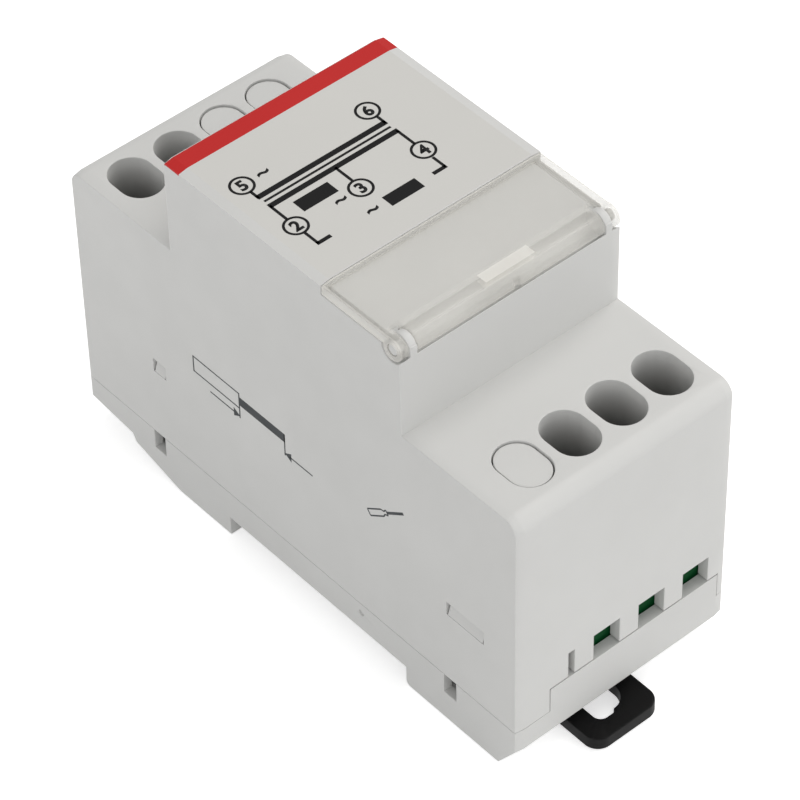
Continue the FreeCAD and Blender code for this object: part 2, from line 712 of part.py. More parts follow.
def rail_clip():
    """Sliding clip: loop for a screwdriver, two spring arms, and a ramped jaw under the rail."""
    x = CLIP_CENTRE
    half = CLIP_WIDTH / 2
    plate = box((x - half, x + half), (CLIP_NEAR, CLIP_FAR), (CLIP_LOW, CLIP_TOP))
    plate = rounded(plate, CLIP_CORNER, lambda b: at(b.YMax, CLIP_NEAR) and at(b.XLength, 0))
    loop_half = LOOP_WIDTH / 2
    loop_near = CLIP_NEAR + LOOP_BAR
    deep = (CLIP_LOW - PAST, CLIP_TOP + PAST)
    left = box((x - loop_half, x), (loop_near, LOOP_FAR), deep)
    left = rounded(left, LOOP_CORNER, lambda b: at(b.XMax, x - loop_half) and at(b.YLength, 0))
    right = box((x - LOOP_CORNER, x + loop_half), (loop_near + LOOP_STEP, LOOP_FAR), deep)
    step = loop_near + LOOP_STEP
    right = rounded(right, LOOP_ARC, lambda b: at(b.XMin, x + loop_half) and at(b.YMax, step))
    cuts = [left.fuse(right)]
    arm_far = LOOP_FAR + MOVING_GAP * 4 + ARM_LENGTH
    for side in (-1, 1):
        slot = sorted((x + side * (half - ARM_WIDTH), x + side * (half - ARM_WIDTH - ARM_SLOT)))
        cuts.append(box(slot, (arm_far - ARM_LENGTH, arm_far), deep))
        rebate = sorted((x + side * (half - CLIP_LIP - CLIP_GAP), x + side * (half + PAST)))
        rebate_near = GUIDE_NEAR - MOVING_GAP
        rebate_top = FOOT + CLIP_LIP_HEIGHT + CLIP_GAP
        cuts.append(box(rebate, (rebate_near, CLIP_FAR + PAST), (CLIP_LOW - PAST, rebate_top)))
    ramp = [(CLIP_FAR + PAST, CLIP_LOW - PAST), (CLIP_FAR + PAST, CLIP_LOW + JAW_RAMP + PAST),
            (CLIP_FAR - JAW_RAMP - PAST, CLIP_LOW - PAST)]
    cuts.append(side_prism(ramp, (x - half - PAST, x + half + PAST)))
    return plate.cut(cuts).removeSplitter()


def terminal_block(end):
    """Moulded block with a well for each clamp, a wire entry in front and a seat for each screw head."""
    poles = [POLE_X[pole] for pole in WIRED[end].values()]
    low = min(poles) - POLE_PITCH / 2 + BLOCK_SIDE_GAP
    high = max(poles) + POLE_PITCH / 2 - BLOCK_SIDE_GAP
    block = box((low, high), (BLOCK_FRONT, BLOCK_BACK), (BLOCK_SEAT, BLOCK_TOP))
    well = CAGE_HALF + MOVING_GAP
    run = CAGE_LENGTH / 2 + MOVING_GAP
    cuts = []
    for x in poles:
        along = (HOLE_INSET - run, HOLE_INSET + run)
        cuts.append(box((x - well, x + well), along, (BLOCK_SEAT - PAST, DECK_LOW)))
        cuts.append(screw_rod(SCREW_RADIUS + RUNNING_GAP, x, DECK_LOW - PAST, BLOCK_TOP))
        head = HEAD_RADIUS + MOVING_GAP
        cuts.append(screw_rod(head, x, DECK_HIGH, BLOCK_TOP + PAST))
        width, sill = ENTRIES[end]
        entry = (x - width / 2, x + width / 2)
        cuts.append(box(entry, (BLOCK_FRONT - PAST, HOLE_INSET), (sill, CONTACT_LOW)))
        cuts.append(entry_funnel(x, width, sill))
        slot = CONTACT_WIDTH / 2 + RUNNING_GAP
        cuts.append(box((x - slot, x + slot), (HOLE_INSET, BLOCK_BACK + PAST),
                        (CONTACT_LOW - RUNNING_GAP, CONTACT_HIGH + RUNNING_GAP)))
    return block.cut(cuts).removeSplitter()


def entry_funnel(x, width, sill):
    """Flared mouth of a wire entry."""
    def outline(y, extra):
        half = width / 2 + extra
        low = sill - extra
        high = CONTACT_LOW + extra
        corners = [V(x - half, y, low), V(x + half, y, low), V(x + half, y, high), V(x - half, y, high)]
        return Part.makePolygon(corners + corners[:1])
    mouth = outline(BLOCK_FRONT, ENTRY_CHAMFER)
    throat = outline(BLOCK_FRONT + ENTRY_CHAMFER, 0)
    return Part.makeLoft([mouth, throat], True)


def clamp_cage(pole):
    x = POLE_X[pole]
    inside = CAGE_INSIDE / 2
    near = HOLE_INSET - CAGE_LENGTH / 2
    far = HOLE_INSET + CAGE_LENGTH / 2
    cage = box((x - CAGE_HALF, x + CAGE_HALF), (near, far), (ENTRY_SILL - CAGE_FLOOR, CAGE_HIGH))
    way = box((x - inside, x + inside), (near - PAST, far + PAST), (ENTRY_SILL, CAGE_LID))
    bore = screw_rod(SCREW_RADIUS + RUNNING_GAP, x, CAGE_LID - PAST, CAGE_HIGH + PAST)
    cage = chamfered(cage, CAGE_CHAMFER, lambda b: at(b.XLength, 0) and at(b.ZLength, 0))
    return cage.cut([way, bore])


def clamp_screw(pole):
    x = POLE_X[pole]
    shank = screw_rod(SCREW_RADIUS, x, CONTACT_HIGH + SEAT_GAP, HEAD_LOW)
    head = screw_rod(HEAD_RADIUS, x, HEAD_LOW, HEAD_HIGH)
    head = chamfered(head, HEAD_CHAMFER, lambda b: at(b.ZMin, HEAD_HIGH))
    half = HEAD_SLOT / 2
    slot = (HEAD_HIGH - HEAD_SLOT, HEAD_HIGH + PAST)
    reach = HEAD_RADIUS + PAST
    groove = box((x - reach, x + reach), (HOLE_INSET - half, HOLE_INSET + half), slot)
    return shank.fuse(head).cut(groove).removeSplitter()


def contact_bar(pole):
    x = POLE_X[pole]
    half = CONTACT_WIDTH / 2
    front = HOLE_INSET - CAGE_LENGTH / 2
    return box((x - half, x + half), (front, TAIL_END), (CONTACT_LOW, CONTACT_HIGH))


def core_e_stack():
    """E laminations: yoke at the far end, three legs towards the near end."""
    unit = LAMINATION_UNIT
    block = box((-STACK, STACK), (CORE_NEAR + unit, CORE_FAR), (CORE_SEAT, CORE_TOP))
    legs = (CORE_NEAR, CORE_FAR - unit)
    lower = box((-STACK - PAST, STACK + PAST), legs, (CORE_SEAT + unit, CORE_SEAT + 2 * unit))
    upper = box((-STACK - PAST, STACK + PAST), legs, (CORE_SEAT + 4 * unit, CORE_SEAT + 5 * unit))
    return block.cut([lower, upper])


def core_i_stack():
    return box((-STACK, STACK), (CORE_NEAR, CORE_NEAR + LAMINATION_UNIT), (CORE_SEAT, CORE_TOP))


def bobbin():
    """Two-chamber bobbin on the middle leg."""
    tube = box((-TUBE_X, TUBE_X), (BOBBIN_NEAR, BOBBIN_FAR), (CORE_MID - TUBE_Z, CORE_MID + TUBE_Z))
    flanges = []
    for step in range(3):
        start = BOBBIN_NEAR + step * (CHAMBER + BOBBIN_FLANGE)
        flange = box((-FLANGE_X, FLANGE_X), (start, start + BOBBIN_FLANGE),
                     (CORE_MID - FLANGE_Z, CORE_MID + FLANGE_Z))
        flanges.append(rounded(flange, WINDING_ROUND, lambda b: at(b.XLength, 0) and at(b.ZLength, 0)))
    bore_x = STACK + BOBBIN_GAP
    bore_z = LAMINATION_UNIT + BOBBIN_GAP
    along = (BOBBIN_NEAR - PAST, BOBBIN_FAR + PAST)
    bore = box((-bore_x, bore_x), along, (CORE_MID - bore_z, CORE_MID + bore_z))
    return tube.fuse(flanges).cut(bore).removeSplitter()


def wound_ring(outer, inner, chamber, spare):
    """A ring round the middle leg: outer and inner half sizes in X and Z, and the corner radius of each."""
    start = BOBBIN_NEAR + BOBBIN_FLANGE + chamber * (CHAMBER + BOBBIN_FLANGE) + spare
    end = start + CHAMBER - 2 * spare
    solids = []
    for half_x, half_z, radius in (outer, inner):
        block = box((-half_x, half_x), (start, end), (CORE_MID - half_z, CORE_MID + half_z))
        if radius:
            block = rounded(block, radius, lambda b: at(b.XLength, 0) and at(b.ZLength, 0))
        solids.append(block)
    return solids[0].cut(solids[1])


def winding(chamber):
    return wound_ring((WINDING_X, WINDING_Z, WINDING_ROUND), (TUBE_X, TUBE_Z, 0), chamber, TAPE_GAP)


def tape(chamber):
    inside = (WINDING_X + TAPE_GAP, WINDING_Z + TAPE_GAP, WINDING_ROUND + TAPE_GAP)
    outside = (TAPE_X, TAPE_Z, WINDING_ROUND + TAPE_GAP + TAPE_THICKNESS)
    return wound_ring(outside, inside, chamber, TAPE_GAP)


def cutout_place():
    """Near end, lead end and lead's X of the thermal cut-out, which lies on the primary tape."""
    middle = BOBBIN_FAR - BOBBIN_FLANGE - CHAMBER / 2
    lead_x = FLANGE_X + TAPE_GAP + LEAD_RADIUS + SEAT_GAP
    return middle - CUTOUT_LENGTH / 2, middle + CUTOUT_LENGTH / 2, lead_x


def thermal_cutout():
    near, far, _ = cutout_place()
    low = TAPE_X + TAPE_GAP
    half = CUTOUT_HEIGHT / 2
    body = box((low, low + CUTOUT_THICKNESS), (near, far), (CORE_MID - half, CORE_MID + half))
    return rounded(body, CUTOUT_ROUND, lambda b: at(b.XLength, 0) and at(b.ZLength, 0))


def wire_run(points):
    """A many-sided wire through the points, with a stepped bend at each corner that fits its runs."""
    corners = [V(*point) for point in points]
    stops = [corners[0]]
    for before, corner, after in zip(corners, corners[1:], corners[2:]):
        back = (before - corner).normalize()
        on = (after - corner).normalize()
        turn = math.pi - back.getAngle(on)
        reach = LEAD_BEND * min((before - corner).Length, (after - corner).Length)
        radius = reach / math.tan(turn / 2)
        first = corner + back * reach
        last = corner + on * reach
        inward = (back + on).normalize()
        middle = corner + inward * (radius / math.cos(turn / 2) - radius)
        stops.extend(Part.Arc(first, middle, last).toShape().discretize(LEAD_STEPS + 1))
    path = Part.makePolygon(stops + corners[-1:])
    ring = Part.makeCircle(LEAD_RADIUS, corners[0], corners[1] - corners[0])
    section = Part.makePolygon(ring.discretize(LEAD_SIDES + 1))
    return path.makePipeShell([section], True, False, 1)


def lead(number, end):
    """One lead, from the bobbin's flange or the cut-out to the tail of its contact bar."""
    pole = POLE_X[WIRED[end][number]]
    lane = STACK + LEAD_LANE
    outer = lane + LEAD_LANE_STEP
    height = CORE_MID
    starts = {2: (-lane, BOBBIN_NEAR), 3: (lane, BOBBIN_NEAR), 4: (outer, BOBBIN_NEAR),
              5: (-outer, BOBBIN_FAR), 6: (cutout_place()[2], cutout_place()[1])}
    x, y = starts[number]
    way = -1 if end == "near" else 1
    pole_x = pole if end == "near" else -pole
    tail = NEAR_END + TAIL_END if end == "near" else FAR_END - TAIL_END
    past_core = (CORE_NEAR if end == "near" else CORE_FAR) + way * LEAD_CLEAR
    before_tail = (past_core + tail) / 2
    return wire_run([(x, y, height), (x, past_core, height), (pole_x, before_tail, CONTACT_MID),
                     (pole_x, tail, CONTACT_MID)])


def all_pieces():
    pieces = {
        "front_cover": front_cover(),
        "rear_base": rear_base(),
        "label_flap": label_flap(),
        "front_label": label_plate(),
        "red_band": band_plate(),
        "rail_clip": rail_clip(),
        "secondary_terminal_block": place(terminal_block("near"), "near"),
        "primary_terminal_block": place(terminal_block("far"), "far"),
        "driver_guide_near": place(driver_guide("near"), "near"),
        "driver_guide_far": place(driver_guide("far"), "far"),
        "core_e_stack": core_e_stack(),
        "core_i_stack": core_i_stack(),
        "bobbin": bobbin(),
        "secondary_winding": winding(0),
        "primary_winding": winding(1),
        "secondary_tape": tape(0),
        "primary_tape": tape(1),
        "thermal_cutout": thermal_cutout(),
    }
    for end, blanks in BLANKED.items():
        for name, pole in blanks.items():
            pieces[f"blank_insert_{name}"] = place(blank_insert(pole), end)
    for end, poles in WIRED.items():
        for number, pole in poles.items():
            pieces[f"clamp_screw_{number}"] = place(clamp_screw(pole), end)
            pieces[f"clamp_cage_{number}"] = place(clamp_cage(pole), end)
            pieces[f"contact_bar_{number}"] = place(contact_bar(pole), end)
            pieces[f"lead_{number}"] = lead(number, end)
    return pieces


os.makedirs("parts", exist_ok=True)
for node, shape in all_pieces().items():
    if not shape.isValid() or len(shape.Solids) != 1:
        print("check", node, "valid", shape.isValid(), "solids", len(shape.Solids))
    shape.exportStep(f"parts/{node}.step")
    print(node, round(shape.Volume, 1))
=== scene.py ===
# %% [markdown]
# A rail-mounted bell transformer: a stepped grey housing with a clear flap, a printed label, screw
# terminals behind small windows and a black clip for the rail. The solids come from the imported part.
# This lesson dresses them: it rounds the moulded edges, prints the label and paints every material.

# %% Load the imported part
import bpy
import bmesh
import json
import math
from mathutils import Matrix, Vector

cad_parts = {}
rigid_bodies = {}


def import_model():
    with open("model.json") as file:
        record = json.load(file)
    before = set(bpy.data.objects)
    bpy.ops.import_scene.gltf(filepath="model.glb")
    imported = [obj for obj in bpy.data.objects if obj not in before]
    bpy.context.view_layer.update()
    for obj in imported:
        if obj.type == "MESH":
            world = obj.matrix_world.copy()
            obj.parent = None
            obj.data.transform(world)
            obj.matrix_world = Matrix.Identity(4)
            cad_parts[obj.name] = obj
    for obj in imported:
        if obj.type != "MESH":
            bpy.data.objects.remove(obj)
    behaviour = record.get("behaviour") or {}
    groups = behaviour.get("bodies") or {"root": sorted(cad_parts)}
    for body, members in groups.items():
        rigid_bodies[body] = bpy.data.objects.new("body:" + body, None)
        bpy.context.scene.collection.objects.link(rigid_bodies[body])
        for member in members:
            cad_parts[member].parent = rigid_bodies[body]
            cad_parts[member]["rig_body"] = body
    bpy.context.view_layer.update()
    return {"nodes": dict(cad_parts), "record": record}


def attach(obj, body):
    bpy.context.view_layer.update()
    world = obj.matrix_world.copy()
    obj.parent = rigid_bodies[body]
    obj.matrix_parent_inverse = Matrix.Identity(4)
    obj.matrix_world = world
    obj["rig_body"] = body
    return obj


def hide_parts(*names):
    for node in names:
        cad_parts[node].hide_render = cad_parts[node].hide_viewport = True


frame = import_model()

MM = 0.001

# %% [markdown]
# Operators act on whatever is selected, and the loaded solids are all selected. The first helper picks
# one object, so that each later step touches one piece only. The second adds a modifier and applies it.

# %% Pick one piece at a time
def pick(piece):
    """Makes one object the only selected and active one."""
    bpy.ops.object.select_all(action="DESELECT")
    piece.select_set(True)
    bpy.context.view_layer.objects.active = piece


def use_modifier(piece, kind, **settings):
    """Adds a modifier, sets it up and applies it."""
    pick(piece)
    modifier = piece.modifiers.new(kind.lower(), kind)
    for name, value in settings.items():
        setattr(modifier, name, value)
    bpy.ops.object.modifier_apply(modifier=modifier.name)


bpy.ops.object.select_all(action="DESELECT")
print("selection cleared")

# %% [markdown]
# Moulded plastic has no knife edges. Each visible moulding is a merged copy of its solid, with the
# sharp outer corners bevelled by a tenth of a millimetre or two, and shaded so that flat faces stay
# flat. The normals that came with the solid are cleared first, since they don't fit the new faces. The
# edges are chosen by their angle and place: edges inside the housing stay as they are.

# %% Round the edges of a moulding
SHARP = math.radians(30)
FLAT = math.radians(0.2)
SAME_POINT = 0.0005 * MM
BEVEL_STEPS = 2


def moulded(node, width, wanted=None):
    """A copy of a CAD node that stands for it, with its outward edges rounded by a width in mm."""
    source = frame["nodes"][node]
    piece = bpy.data.objects.new(node + "_moulded", source.data.copy())
    bpy.context.scene.collection.objects.link(piece)
    pick(piece)
    bpy.ops.mesh.customdata_custom_splitnormals_clear()
    bpy.ops.object.mode_set(mode="EDIT")
    bpy.ops.mesh.select_mode(type="EDGE")
    bpy.ops.mesh.select_all(action="SELECT")
    bpy.ops.mesh.mark_sharp(clear=True)
    bpy.ops.mesh.remove_doubles(threshold=SAME_POINT)
    bpy.ops.mesh.dissolve_limited(angle_limit=FLAT)
    bpy.ops.mesh.select_all(action="DESELECT")
    mesh = bmesh.from_edit_mesh(piece.data)
    chosen = 0
    for edge in mesh.edges:
        middle = (edge.verts[0].co + edge.verts[1].co) / (2 * MM)
        sharp = len(edge.link_faces) == 2 and edge.is_convex and edge.calc_face_angle() > SHARP
        edge.select_set(sharp and (wanted is None or wanted(middle)))
        chosen += edge.select
    bmesh.update_edit_mesh(piece.data)
    bpy.ops.mesh.bevel(offset=width * MM, segments=BEVEL_STEPS, affect="EDGES", clamp_overlap=False,
                       loop_slide=False)
    bpy.ops.mesh.select_all(action="SELECT")
    bpy.ops.mesh.remove_doubles(threshold=SAME_POINT)
    bpy.ops.object.mode_set(mode="OBJECT")
    use_modifier(piece, "TRIANGULATE", min_vertices=5)
    bpy.ops.object.shade_smooth_by_angle(angle=SHARP)
    use_modifier(piece, "WEIGHTED_NORMAL", keep_sharp=True)
    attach(piece, source["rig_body"])
    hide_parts(node)
    print(node, "rounded edges:", chosen, "faces:", len(piece.data.polygons))


# %% [markdown]
# The cover and the base are the two halves of the housing. On the cover the edges outside are rounded,
# but not those at its rim, at the label's recess, at the snap windows or along the crest of the nose, whose
# arcs are too small for a bevel. On the base it is the edges below its rim, apart from those in its hollow.
# All limits are in millimetres. The plugs of the unused terminals are rounded all over.

# %% Housing mouldings
INSIDE_X = 16.61
BODY_NEAR, BODY_FAR, BODY_TOP = -36.96, 45.66, 41.21
NOSE_NEAR, NOSE_FAR, NOSE_TOP = -16.46, 25.16, 55.86
CREST_X, CREST_Z, CREST_Y, CREST_FOOT = 17.3, 56.7, 26, 42.9
RECESS_NEAR, RECESS_FAR, RECESS_FLOOR = -14, 26.6, 57
SNAP_X, SNAP_Y, SNAP_LOW, SNAP_HIGH = 16.5, 20, 16.5, 19.6
COVER_RIM, BASE_RIM, BASE_FLOOR = 5.3, 4.9, 1.4


def outside_cover(p):
    """True for a place on the cover's outside whose edges are rounded."""
    within, side = abs(p.x) < INSIDE_X, abs(p.x) > CREST_X
    body = within and BODY_NEAR < p.y < BODY_FAR and p.z < BODY_TOP
    nose = within and NOSE_NEAR < p.y < NOSE_FAR and p.z < NOSE_TOP
    recess = abs(p.x) < CREST_X and RECESS_NEAR < p.y < RECESS_FAR and p.z > RECESS_FLOOR
    crest = side and (p.z > CREST_Z or (p.y > CREST_Y and p.z > CREST_FOOT))
    snaps = abs(p.x) > SNAP_X and abs(p.y) > SNAP_Y and SNAP_LOW < p.z < SNAP_HIGH
    return not (body or nose or recess or crest or snaps or p.z < COVER_RIM)


def outside_base(p):
    """True for a place on the base below its rim and outside its hollow."""
    return p.z < BASE_RIM and not (abs(p.x) < INSIDE_X and p.z > BASE_FLOOR)


moulded("front_cover", width=0.15, wanted=outside_cover)
moulded("rear_base", width=0.15, wanted=outside_base)
for place in ("near", "far_outer", "far_inner"):
    moulded("blank_insert_" + place, width=0.12)

# %% [markdown]
# The flap is rounded along the top of its plate and on the front of its lip, and the clip everywhere
# above its underside. Both move, and their copies ride on the same bodies as the solids.

# %% Clear flap and rail clip
PLATE_RIM, LIP_FRONT, CLIP_UNDERSIDE = 57.2, -16.5, -3.0
moulded("label_flap", width=0.1, wanted=lambda p: p.z > PLATE_RIM or p.y < LIP_FRONT)
moulded("rail_clip", width=0.2, wanted=lambda p: p.z > CLIP_UNDERSIDE)

# %% [markdown]
# The green blocks show through the windows, and the screw heads at the bottom of the driver guides. The
# guides stand right under the cover, so only the edges of their lower ends are rounded.

# %% Terminals behind the windows
GUIDE_END = 30
for end in ("secondary", "primary"):
    moulded(end + "_terminal_block", width=0.1)
for end in ("near", "far"):
    moulded("driver_guide_" + end, width=0.1, wanted=lambda p: p.z < GUIDE_END)
for number in (2, 3, 4, 5, 6):
    moulded(f"clamp_screw_{number}", width=0.08)

# %% [markdown]
# The print is a layer of ink, two hundredths of a millimetre thick. It is drawn flat, with u to the
# right and v up, in millimetres, and then turned onto its face of the housing. Bars, plates, rings and
# arrow heads start as a plane or a circle that is scaled, inset and extruded; digits start as text.

# %% Tools for flat print
INK = 0.02
RING_SIDES = 48
SIGN_STEPS = 4
SIGN_MERGE = 0.01 * MM


def settle(piece):
    """Puts an object's place, turn and size into its mesh."""
    pick(piece)
    bpy.ops.object.transform_apply(location=True, rotation=True, scale=True)


def thicken(piece):
    """Extrudes a flat face upwards into a layer of ink."""
    pick(piece)
    bpy.ops.object.mode_set(mode="EDIT")
    bpy.ops.mesh.select_all(action="SELECT")
    bpy.ops.mesh.extrude_region_move(TRANSFORM_OT_translate={"value": (0, 0, INK * MM)})
    bpy.ops.mesh.select_all(action="SELECT")
    bpy.ops.mesh.normals_make_consistent(inside=False)
    bpy.ops.object.mode_set(mode="OBJECT")
    return piece


def bar(start, end, width):
    """A printed line between two points."""
    run = Vector(end) - Vector(start)
    middle = (Vector(start) + Vector(end)) / 2
    bpy.ops.mesh.primitive_plane_add(size=1, location=(middle.x * MM, middle.y * MM, 0))
    piece = bpy.context.object
    piece.rotation_euler.z = math.atan2(run.y, run.x)
    piece.scale = (run.length * MM, width * MM, 1)
    settle(piece)
    return thicken(piece)


def ring(centre, radius, width):
    """A printed circle line: a disc whose inset middle is taken out."""
    place = (centre[0] * MM, centre[1] * MM, 0)
    bpy.ops.mesh.primitive_circle_add(vertices=RING_SIDES, radius=radius * MM, fill_type="NGON",
                                      location=place)
    piece = bpy.context.object
    settle(piece)
    bpy.ops.object.mode_set(mode="EDIT")
    bpy.ops.mesh.select_mode(type="FACE")
    bpy.ops.mesh.select_all(action="SELECT")
    bpy.ops.mesh.inset(thickness=width * MM)
    bpy.ops.mesh.delete(type="FACE")
    bpy.ops.object.mode_set(mode="OBJECT")
    return thicken(piece)


def arrow(tip, toward, size):
    """A printed arrow head with its tip at one point, facing along a direction."""
    way = Vector(toward).normalized()
    centre = Vector(tip) - way * size / 2
    place = (centre.x * MM, centre.y * MM, 0)
    bpy.ops.mesh.primitive_circle_add(vertices=3, radius=size * MM / 1.5, fill_type="NGON", location=place)
    piece = bpy.context.object
    piece.rotation_euler.z = math.atan2(way.y, way.x) - math.pi / 2
    settle(piece)
    return thicken(piece)


def sign(text, centre, size, bold):
    """A printed digit or sign, made a mesh before it is placed."""
    bpy.ops.object.text_add()
    piece = bpy.context.object
    piece.data.body = text
    piece.data.align_x = "CENTER"
    piece.data.align_y = "CENTER"
    piece.data.size = size * MM
    piece.data.offset = bold * MM
    piece.data.resolution_u = SIGN_STEPS
    pick(piece)
    bpy.ops.object.convert(target="MESH")
    piece = bpy.context.object
    bpy.ops.object.mode_set(mode="EDIT")
    bpy.ops.mesh.select_all(action="SELECT")
    bpy.ops.mesh.remove_doubles(threshold=SIGN_MERGE)
    bpy.ops.mesh.dissolve_degenerate(threshold=SIGN_MERGE)
    bpy.ops.object.mode_set(mode="OBJECT")
    low = [min(v.co[i] for v in piece.data.vertices) for i in (0, 1)]
    high = [max(v.co[i] for v in piece.data.vertices) for i in (0, 1)]
    piece.location = [centre[i] * MM - (low[i] + high[i]) / 2 for i in (0, 1)] + [0]
    settle(piece)
    return thicken(piece)


def one_print(name, pieces, turn):
    """Joins flat print into one piece and turns it onto its face."""
    bpy.ops.object.select_all(action="DESELECT")
    for piece in pieces:
        piece.select_set(True)
    bpy.context.view_layer.objects.active = pieces[0]
    bpy.ops.object.join()
    whole = bpy.context.object
    whole.name = name
    whole.data.name = name
    whole.matrix_world = turn
    settle(whole)
    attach(whole, "housing")
    print(name, "faces:", len(whole.data.polygons))
    return whole


# %% [markdown]
# The label shows a winding diagram: two primary terminals above, three secondary terminals below,
# a core line between the two windings, three wave signs and two plain black plates. The only lettering is
# the terminals' plain numbers.

# %% Print on the label
TERMINALS = {"5": (-13.68, 16.47), "6": (6.94, 16.62), "4": (7.28, 6.39), "3": (-3.07, 6.32),
             "2": (-13.44, 6.44)}
RING_RADIUS, RING_LINE = 1.72, 0.36
DIGIT, DIGIT_BOLD = 2.55, 0.1
WAVE, WAVE_BOLD = 3.0, 0.09
WINDING, CORE, WIRE, STUB = 0.85, 0.36, 0.42, 0.6
UPPER_PLATE, LOWER_PLATE = 2.25, 2.05
LABEL_LEVEL = 57.693
ink = []
for number, centre in TERMINALS.items():
    ink.append(ring(centre, RING_RADIUS, RING_LINE))
    ink.append(sign(number, centre, DIGIT, DIGIT_BOLD))
for start, end, width in (
        ((-13.75, 13.5), (7.3, 13.5), WINDING), ((-13.5, 12.4), (7.1, 12.4), CORE),
        ((-13.7, 11.3), (7.4, 11.3), WINDING), ((-13.6, 14.9), (-13.6, 13.3), WIRE),
        ((7.1, 15.0), (7.1, 13.3), WIRE), ((-13.5, 11.4), (-13.5, 8.05), WIRE),
        ((7.2, 11.4), (7.2, 8.0), WIRE), ((-3.0, 11.3), (-3.0, 7.95), WIRE),
        ((7.2, 4.6), (7.2, 2.15), WIRE), ((7.41, 2.26), (5.2, 2.26), STUB),
        ((-13.44, 4.75), (-13.44, 2.15), WIRE), ((-13.65, 2.26), (-11.4, 2.26), STUB),
        ((-11.0, 8.83), (-5.45, 8.83), UPPER_PLATE), ((-2.35, 2.22), (2.95, 2.22), LOWER_PLATE)):
    ink.append(bar(start, end, width))
for centre in ((-10.23, 16.56), (-6.36, 6.26), (-4.6, 2.3)):
    ink.append(sign("~", centre, WAVE, WAVE_BOLD))
label_print = one_print("label_print", ink, Matrix.Translation((0, 0, LABEL_LEVEL * MM)))

# %% [markdown]
# The printed side shows how far to strip a wire, and a screwdriver. On this face u runs towards the
# near end, which is -Y, and v runs up.

# %% Print on the side
SIDE_LEVEL, RAISE = -17.993, 1.24
FACE = Matrix(((0, 0, -1, SIDE_LEVEL * MM), (-1, 0, 0, 0), (0, 1, 0, RAISE * MM), (0, 0, 0, 1)))
FINE, STRIPPED, ARROW = 0.22, 1.5, 1.3
ink = []
for start, end in (((-23.45, 22.2), (-14.1, 22.2)), ((-23.45, 24.85), (-14.1, 24.85)),
                   ((-23.35, 22.1), (-23.35, 24.95)), ((-14.1, 20.4), (-14.1, 24.95))):
    ink.append(bar(start, end, FINE))
ink.append(bar((-14.0, 23.5), (-5.0, 23.5), STRIPPED))
ink.append(bar((-5.1, 20.4), (-5.1, 24.2), FINE))
ink.append(bar((-20.1, 20.75), (-15.0, 20.75), FINE))
ink.append(arrow((-14.25, 20.75), (1, 0), ARROW))
ink.append(bar((0.3, 20.75), (-4.2, 20.75), FINE))
ink.append(arrow((-4.95, 20.75), (-1, 0), ARROW))

HANDLE = [(0, -0.5), (3.2, -0.5), (3.7, -0.22), (4.3, -0.4),
          (4.3, 0.4), (3.7, 0.22), (3.2, 0.5), (0, 0.5)]
BLADE = (4.3, 0), (8.16, 0)
BLADE_LINE = 0.42
SLANT = Matrix.Rotation(math.atan2(4.8, 6.6), 2)
BUTT = Vector((11.3, 22.8))
corners = [BUTT + SLANT @ Vector(corner) for corner in HANDLE]
for start, end in zip(corners, corners[1:] + corners[:1]):
    ink.append(bar(start, end, FINE))
ink.append(bar(*(BUTT + SLANT @ Vector(point) for point in BLADE), BLADE_LINE))
side_print = one_print("side_print", ink, FACE)

# %% [markdown]
# Every plastic here shares the same fine spark-eroded grain and a faint change of tone over the
# moulding. Both come from one node group, so that each material only sets their size and depth.

# %% Shared grain and tone
GRAIN, BROAD, PATCHES = 4000, 45, 260
MASK_LOW, MASK_HIGH = 0.3, 0.7


def new_group(name, inputs, outputs):
    """An empty shader node group with float sockets of the given names and defaults."""
    group = bpy.data.node_groups.new(name, "ShaderNodeTree")
    for socket, value in inputs.items():
        made = group.interface.new_socket(socket, in_out="INPUT", socket_type="NodeSocketFloat")
        made.default_value = value
    for socket in outputs:
        group.interface.new_socket(socket, in_out="OUTPUT", socket_type="NodeSocketFloat")
    return group, group.nodes.new("NodeGroupInput"), group.nodes.new("NodeGroupOutput")


def noise(tree, scale, detail, coordinates):
    """A noise texture at the given coordinates."""
    node = tree.nodes.new("ShaderNodeTexNoise")
    node.inputs["Scale"].default_value = scale
    node.inputs["Detail"].default_value = detail
    tree.links.new(coordinates, node.inputs["Vector"])
    return node


def spread(tree, value, low, high):
    """Maps a mask, which keeps near its middle, to a range of values."""
    node = tree.nodes.new("ShaderNodeMapRange")
    node.inputs["From Min"].default_value = MASK_LOW
    node.inputs["From Max"].default_value = MASK_HIGH
    node.inputs["To Min"].default_value = low
    node.inputs["To Max"].default_value = high
    tree.links.new(value, node.inputs["Value"])
    return node.outputs["Result"]


grain, grain_in, grain_out = new_group("moulded_grain", {"Grain Size": GRAIN},
                                       ["Height", "Tone", "Sheen Mask"])
place = grain.nodes.new("ShaderNodeTexCoord").outputs["Object"]
fine = noise(grain, GRAIN, 2, place)
grain.links.new(grain_in.outputs["Grain Size"], fine.inputs["Scale"])
broad = noise(grain, BROAD, 3, place)
patches = noise(grain, PATCHES, 2, place)
grain.links.new(fine.outputs["Fac"], grain_out.inputs["Height"])
grain.links.new(broad.outputs["Fac"], grain_out.inputs["Tone"])
grain.links.new(patches.outputs["Fac"], grain_out.inputs["Sheen Mask"])
print("group", grain.name, "nodes:", len(grain.nodes))


# %% [markdown]
# A plastic is that group round one Principled shader: two close tones of its colour, a roughness
# that wanders a little, and the grain as a shallow bump.

# %% Moulded plastics
GRAIN_STRENGTH = 0.35


def shader_material(name):
    """A new material with its node tree and its Principled shader."""
    material = bpy.data.materials.new(name)
    material.use_nodes = True
    tree = material.node_tree
    return material, tree, tree.nodes["Principled BSDF"]


